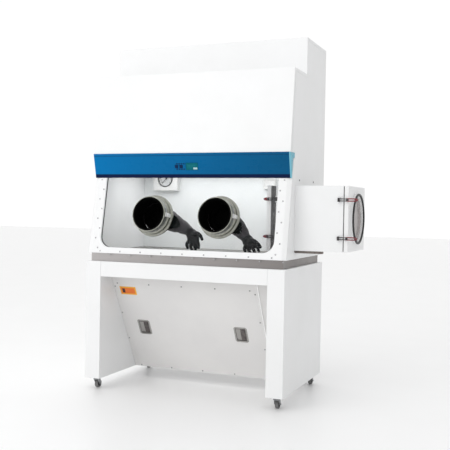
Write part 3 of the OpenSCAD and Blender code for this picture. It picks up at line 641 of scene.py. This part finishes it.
def build_port_details():
    """Flange screws and the white closing clip of each clamp band."""
    screws = 8
    screw_circle_r = 0.1215
    flange_face = 0.0105
    reach = 0.1105
    for side, word in ((-1, "left"), (1, "right")):
        place = port_place(side)
        parts = []
        for i in range(screws):
            turn = Matrix.Rotation((i + 0.5) * 2 * math.pi / screws, 4, "Z")
            spot = place @ turn @ Matrix.Translation((screw_circle_r, 0, flange_face))
            parts.append(screw(f"{word}_flange_screw", spot, 0.0038))
        settle(join(f"{word}_flange_screws", parts), "cabinet")
        clip = [
            block("clip_base", (reach - 0.004, -0.013, 0.012), (reach + 0.003, 0.013, 0.070),
                  WHITE_PLASTIC, place, 0.002),
            block("clip_lever", (reach + 0.001, -0.011, 0.016), (reach + 0.0095, 0.011, 0.062),
                  WHITE_PLASTIC, place, 0.003),
            tube("clip_pin", [place @ Vector((reach + 0.003, -0.012, 0.061)),
                              place @ Vector((reach + 0.003, 0.012, 0.061))], 0.0022, ZINC, 12)]
        settle(join(f"{word}_band_clip", clip), "cabinet")


def build_latch(node, direction):
    """Dark pivot and rods, and a red dipped loop handle."""
    low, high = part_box(node)
    middle = (low + high) / 2
    grip = 0.068 if "outer" in node else 0.034
    barrel = 0.006
    start = low.x + barrel if direction > 0 else high.x - barrel
    end = high.x if direction > 0 else low.x
    y, z = low.y + barrel, middle.z
    grip_start = end - direction * grip
    parts = [lathe(node + "_barrel", rounded_profile([
        (0.0031, -0.0115), (barrel, -0.0115), (barrel, 0.0115), (0.0031, 0.0115)], 0.001),
        Matrix.Translation((start, y, z)), LATCH_STEEL, 32)]
    for up in (-0.006, 0.006):
        parts.append(tube(node + "_rod", [(start + direction * 0.004, y, z + up),
                                          (grip_start + direction * 0.006, y, z + up)],
                          0.0024, LATCH_STEEL, 16))
        parts.append(tube(node + "_nut", [(grip_start - direction * 0.006, y, z + up),
                                          (grip_start - direction * 0.001, y, z + up)],
                          0.0042, SCREW, 6))
    half = 0.0062
    tip = end - direction * 0.006
    loop = curve_points([
        (grip_start, y, z + half), ((grip_start + tip) / 2, y, z + half * 1.05),
        (tip - direction * 0.006, y, z + half * 0.8), (tip + direction * 0.003, y, z),
        (tip - direction * 0.006, y, z - half * 0.8), ((grip_start + tip) / 2, y, z - half * 1.05),
        (grip_start, y, z - half)], 60)
    parts.append(tube(node + "_loop", loop, 0.0034, RED_GRIP, 16))
    if "inner" in node:
        parts.append(block(node + "_pad", (min(grip_start, tip), y - 0.002, z - half),
                           (max(grip_start, tip), y + 0.002, z + half), RED_GRIP, bevel=0.0008))
    web_end = grip_start + direction * 0.012
    parts.append(block(node + "_web", (min(grip_start, web_end), y - 0.0045, z - 0.008),
                       (max(grip_start, web_end), y + 0.0045, z + 0.008),
                       LATCH_STEEL, bevel=0.0015))
    settle(join(node + "_look", parts), node, node)


def build_gauge():
    """Dial face with a ring of ticks and a spindle, and a black bezel on the housing."""
    low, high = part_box("gauge_dial")
    house_low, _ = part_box("gauge_housing")
    centre = (low + high) / 2
    radius = (high.x - low.x) / 2
    face_y = low.y + 0.006
    parts = [lathe("dial_face", [(0.0025, 0), (radius, 0), (radius, 0.0025), (0.0025, 0.0025)],
                   Matrix.Translation((centre.x, face_y + 0.0035, centre.z))
                   @ Matrix.Rotation(math.pi / 2, 4, "X"), DIAL)]
    face = facing_place(Vector((centre.x, face_y + 0.001, centre.z)))
    steps = 40
    for i in range(steps + 1):
        long = i % 5 == 0
        angle = math.radians(225 - 270 * i / steps)
        turn = Matrix.Rotation(angle, 4, "Z")
        inner = radius * (0.68 if long else 0.80)
        half = 0.0016 if long else 0.0007
        parts.append(block("tick", (inner, -half, -0.0002), (radius * 0.93, half, 0.0005), INK,
                           face @ turn, 0.0001, 1))
    parts.append(tube("spindle", [(centre.x, low.y, centre.z), (centre.x, face_y + 0.002, centre.z)],
                      0.0019, ZINC, 16))
    settle(join("gauge_dial_look", parts), "cabinet", "gauge_dial")
    bezel = lathe("gauge_bezel", rounded_profile([
        (radius - 0.0005, 0.0), (radius + 0.006, 0.0), (radius + 0.006, 0.0045),
        (radius + 0.001, 0.0055)], 0.001),
        facing_place(Vector((centre.x, house_low.y, centre.z))), BLACK_PLASTIC)
    settle(bezel, "cabinet")


def build_label():
    """Yellow plate with a raised orange panel and one dark block; it carries no lettering."""
    low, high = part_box("label_plate")
    place = leaning_place(KNEE_TILT, (low + high) / 2) @ Matrix.Translation((0, 0, 0.0006))
    half_w, half_h = (high.x - low.x) / 2, 0.030
    border = 0.009
    parts = [
        block("label_base", (-half_w, -half_h, -0.0011), (half_w, half_h, 0), YELLOW, place, 0.0004),
        block("label_panel", (-half_w + border, -half_h + border, -0.0002),
              (half_w - border, half_h - border, 0.0004), ORANGE, place, 0.0002),
        block("label_mark", (half_w - border - 0.026, -half_h + border + 0.006, 0),
              (half_w - border - 0.008, half_h - border - 0.006, 0.0007), INK, place, 0.0002)]
    settle(join("label_look", parts), "cabinet", "label_plate")


def band_place(node):
    """On the front face of a node of the band: X to the left, Y up the band, Z out of it."""
    low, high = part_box(node)
    band_low, band_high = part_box("control_band")
    lean = math.atan2(BAND_LEAN, band_high.z - band_low.z)
    half_h = (high.z - low.z) / 2
    front_y = low.y + half_h * math.tan(lean)
    return leaning_place(lean, Vector(((low.x + high.x) / 2, front_y, (low.z + high.z) / 2)))


def build_control_panel():
    """Bars and a pale indicator on the display, and two dark membrane strips with small keys."""
    place = band_place("control_display")
    screen_low, screen_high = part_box("control_display")
    half_w = (screen_high.x - screen_low.x) / 2
    parts = []
    for i in range(5):
        x = half_w - 0.014 - i * 0.0105
        for y in (-0.003, 0.006):
            parts.append(block("segment", (x - 0.0032, y - 0.0007, -0.0004),
                               (x + 0.0032, y + 0.0007, 0.0006),
                               SEGMENT, place, 0.0002, 1))
    parts.append(block("indicator", (-half_w + 0.004, -0.018, -0.0004), (-half_w + 0.030, -0.007, 0.0008),
                       KEY_LIGHT, place, 0.0004))
    inner, outer, reach_y = half_w + 0.004, half_w + 0.068, 0.022
    key_half = 0.011
    for y0, y1 in ((-reach_y, -key_half), (key_half, reach_y)):
        parts.append(block("membrane", (inner, y0, -0.002), (outer, y1, 0.0006), MEMBRANE, place, 0.0006))
        middle_y = (y0 + y1) / 2
        for i in range(4):
            x = inner + 0.009 + i * 0.0155
            parts.append(block("small_key", (x - 0.0055, middle_y - 0.0035, 0),
                               (x + 0.0055, middle_y + 0.0035, 0.0012), KEY_BLUE, place, 0.0008))
    settle(join("display_marks", parts), "cabinet")


def build_latch_cups():
    """Pressed lip round each flush pull, and a bright plate on the left half of its paddle."""
    for side in ("left", "right"):
        low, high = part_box(side + "_latch_paddle")
        half_w = (high.x - low.x) / 2
        half_h = (high.z - low.z) / 2 / math.cos(KNEE_TILT)
        face = leaning_place(KNEE_TILT, (low + high) / 2)
        lip = 0.006
        outline = [(-half_w - lip, -half_h - lip), (half_w + lip, -half_h - lip),
                   (half_w + lip, half_h + lip), (-half_w - lip, half_h + lip)]
        rail = [face @ Vector((x, y, 0.0035)) for x, y in outline]
        parts = [tube(side + "_cup_lip", [a, b], 0.0028, UPRIGHT_STEEL, 12)
                 for a, b in zip(rail, rail[1:] + rail[:1])]
        settle(join(side + "_cup_frame", parts), "cabinet")
        plate = block(side + "_paddle_skin", (half_w * 0.05, -half_h + 0.003, 0.0012),
                      (half_w - 0.003, half_h - 0.003, 0.0030), UPRIGHT_STEEL, face, 0.001)
        settle(plate, side + "_latch_paddle")


def build_wheels():
    """Tyres with a rounded tread, dished hubs, axles and axle nuts."""
    for corner in CORNERS:
        node = corner + "_wheel"
        low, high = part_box(node)
        centre = (low + high) / 2
        radius = (high.z - low.z) / 2
        half = 0.011
        place = Matrix.Translation(centre) @ Matrix.Rotation(math.pi / 2, 4, "Y")
        tyre = lathe(node + "_tyre", rounded_profile([
            (radius * 0.66, -half * 0.9), (radius * 0.93, -half), (radius, -half * 0.6),
            (radius, half * 0.6), (radius * 0.93, half), (radius * 0.66, half * 0.9)], 0.003),
            place, TREAD)
        hub = lathe(node + "_hub", rounded_profile([
            (0.0001, -half * 0.75), (radius * 0.34, -half * 0.8), (radius * 0.42, -half * 0.35),
            (radius * 0.6, -half * 0.4), (radius * 0.67, -half * 0.85), (radius * 0.67, half * 0.85),
            (radius * 0.6, half * 0.4), (radius * 0.42, half * 0.35), (radius * 0.34, half * 0.8),
            (0.0001, half * 0.75)], 0.0006), place, BLACK_PLASTIC, 64)
        reach = (high.x - low.x) / 2
        axle = tube(node + "_axle", [centre - Vector((reach, 0, 0)), centre + Vector((reach, 0, 0))],
                    0.0039, SCREW, 24)
        nuts = [tube(node + "_nut", [centre + Vector((d * (reach - 0.0022), 0, 0)),
                                     centre + Vector((d * (reach + 0.0018), 0, 0))],
                     0.0065, SCREW, 6) for d in (-1, 1)]
        settle(join(node + "_look", [tyre, hub, axle, *nuts]), node, node)


def build_plate_bolts():
    """Four bolts under each caster plate."""
    low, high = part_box("caster_plates")
    half = 0.038
    bolt_offset = 0.028
    plate_underside = high.z - 0.0042
    upside_down = Matrix.Rotation(math.pi, 4, "X")
    parts = []
    for x in (low.x + half, high.x - half):
        for y in (low.y + half, high.y - half):
            for dx in (-bolt_offset, bolt_offset):
                for dy in (-bolt_offset, bolt_offset):
                    spot = Matrix.Translation((x + dx, y + dy, plate_underside))
                    parts.append(screw("plate_bolt", spot @ upside_down, 0.0055))
    settle(join("caster_bolts", parts), "cabinet")


def paint_faces(node, material, wanted):
    """Gives a CAD node's faces that pass the test a second material."""
    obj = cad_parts[node]
    obj.data.materials.append(material)
    for polygon in obj.data.polygons:
        if wanted(polygon):
            polygon.material_index = 1


def build_cad_looks():
    """Materials and soft edges for the CAD nodes that are shown as they are."""
    for node in ("stand_side_panels", "stand_beams", "outer_door", "inner_door", "hood_cover",
                 "upper_housing", "window_frame", "pass_box_shell"):
        dress(node, WHITE, 0.0025)
    for node in ("cabinet_left_wall", "cabinet_right_wall", "cabinet_rear_wall"):
        dress(node, WHITE, 0.0015)
    for node in ("knee_panel", "knee_filler_panel"):
        dress(node, KNEE_WHITE, 0.0008)
    for node in ("rear_baffle", "diffuser_plate"):
        dress(node, LINER, 0.0008)
    dress("base_plate", BASE_STEEL_PAINTED_LIGHT, 0.0015)
    dress("work_floor", STEEL, 0.0015)
    for node in ("panel_latch_cups", "exhaust_collar"):
        dress(node, UPRIGHT_STEEL, 0.0006)
    for node in ("caster_plates", "blower_housing", "door_hinge_pins"):
        dress(node, ZINC, 0.0006)
    dress("panel_screws", SCREW, 0)
    for node in ("left_latch_paddle", "right_latch_paddle"):
        dress(node, PADDLE, 0.0006)
    for node in ("window_gasket", "outer_door_ring"):
        dress(node, BLACK_RUBBER, 0.0008)
    dress("door_gaskets", GASKET_GREY, 0.002)
    door_low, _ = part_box("outer_door")
    # Painted shade: the shell's faces below the outer door get a dark brownish steel for the shade under
    # the pass box.
    paint_faces("pass_box_shell", UNDERSIDE_SHADE_STEEL, lambda face: face.center.z < door_low.z - MM)
    dress("window_pane", PANE, 0)
    dress("outer_door_glass", PORTHOLE_GLASS, 0)
    dress("control_band", BAND_BLUE_PAINTED_SHADE, 0.003)
    dress("blower_impeller", FAN_GREY, 0)
    dress("hepa_filters", PAPER, 0)
    dress("lamp_tube", LAMP, 0)
    dress("service_socket", WHITE_PLASTIC, 0.001)
    dress("power_inlet", BLACK_PLASTIC, 0.001)
    dress("gauge_housing", WHITE_PLASTIC, 0.002)
    dress("gauge_needle", NEEDLE, 0)
    dress("gauge_lens", LENS, 0)
    dress("control_display", SCREEN, 0.0005)
    for node in ("fan_key", "lamp_key"):
        dress(node, KEY_BLUE, 0.001)
    dress("glove_port_rings", PORT, 0.0008)
    dress("glove_clamp_bands", ZINC, 0.0005)
    for corner in CORNERS:
        dress(corner + "_caster_fork", ZINC, 0.0005)


# ------------------------------------------------------------------ stage

def area_light(name, place, target, size, power):
    """Soft rectangular lamp at place, aimed at target."""
    data = bpy.data.lights.new(name, "AREA")
    data.shape = "RECTANGLE"
    data.size, data.size_y = size
    data.energy = power
    light = bpy.data.objects.new(name, data)
    bpy.context.scene.collection.objects.link(light)
    light.location = place
    light.rotation_mode = "QUATERNION"
    light.rotation_quaternion = (Vector(target) - Vector(place)).to_track_quat("-Z", "Y")


def build_stage():
    """Pale floor, white surroundings that dim towards +X, a key light and the chamber's lamp."""
    bm = bmesh.new()
    bmesh.ops.create_grid(bm, x_segments=8, y_segments=8, size=30)
    floor_paint = powder_coat("studio_floor_paint", (0.97, 0.97, 0.97), (0.96, 0.96, 0.96))
    floor = new_object("studio_floor", bm, floor_paint)
    world = bpy.data.worlds.new("studio")
    bpy.context.scene.world = world
    world.use_nodes = True
    nodes, links = world.node_tree.nodes, world.node_tree.links
    nodes["Background"].inputs["Color"].default_value = (1, 1, 1, 1)
    direction = nodes.new("ShaderNodeTexCoord")
    split = nodes.new("ShaderNodeSeparateXYZ")
    links.new(direction.outputs["Generated"], split.inputs[0])
    fall = nodes.new("ShaderNodeMapRange")
    limits = {"From Min": 0.0, "From Max": 0.9, "To Min": 1.02, "To Max": 0.62}
    for socket, value in limits.items():
        fall.inputs[socket].default_value = value
    links.new(split.outputs["X"], fall.inputs["Value"])
    links.new(fall.outputs[0], nodes["Background"].inputs["Strength"])
    middle = HOME + Vector((0, 0.7, 1.2))
    key_place = middle + Vector((-2.2, -4.9, 2.2))
    key_size, key_watts = (3.5, 2.5), 52
    area_light("key_light", key_place, middle, key_size, key_watts)
    chamber_top = HOME + Vector((0, 0.40, 1.385))
    lamp_size, lamp_watts = (1.0, 0.35), 2.9
    area_light("chamber_light", chamber_top, chamber_top - Z_AXIS, lamp_size, lamp_watts)
    bpy.context.scene.view_settings.view_transform = "Standard"


def build_camera():
    """Camera in front and to the right, near the cabinet's mid height."""
    focal_mm = 61.9
    sensor_mm = 36
    yaw, pitch, roll = (math.radians(a) for a in (22.1, 1.2, 1.0))
    place = Vector((1.784, -4.556, 1.145))
    data = bpy.data.cameras.new("camera")
    data.lens = focal_mm
    data.sensor_width = sensor_mm
    camera = bpy.data.objects.new("camera", data)
    bpy.context.scene.collection.objects.link(camera)
    turn = (Matrix.Rotation(yaw, 4, "Z") @ Matrix.Rotation(math.pi / 2 - pitch, 4, "X")
            @ Matrix.Rotation(roll, 4, "Z"))
    camera.matrix_world = Matrix.Translation(place) @ turn
    data.clip_end = 100
    bpy.context.scene.camera = camera


build_cad_looks()
build_gloves()
build_port_details()
for latch, direction in (("outer_lower_latch", 1), ("outer_upper_latch", 1),
                         ("inner_lower_latch", -1), ("inner_upper_latch", -1)):
    build_latch(latch, direction)
build_gauge()
build_label()
build_control_panel()
build_latch_cups()
build_wheels()
build_plate_bolts()
build_stage()
build_camera()
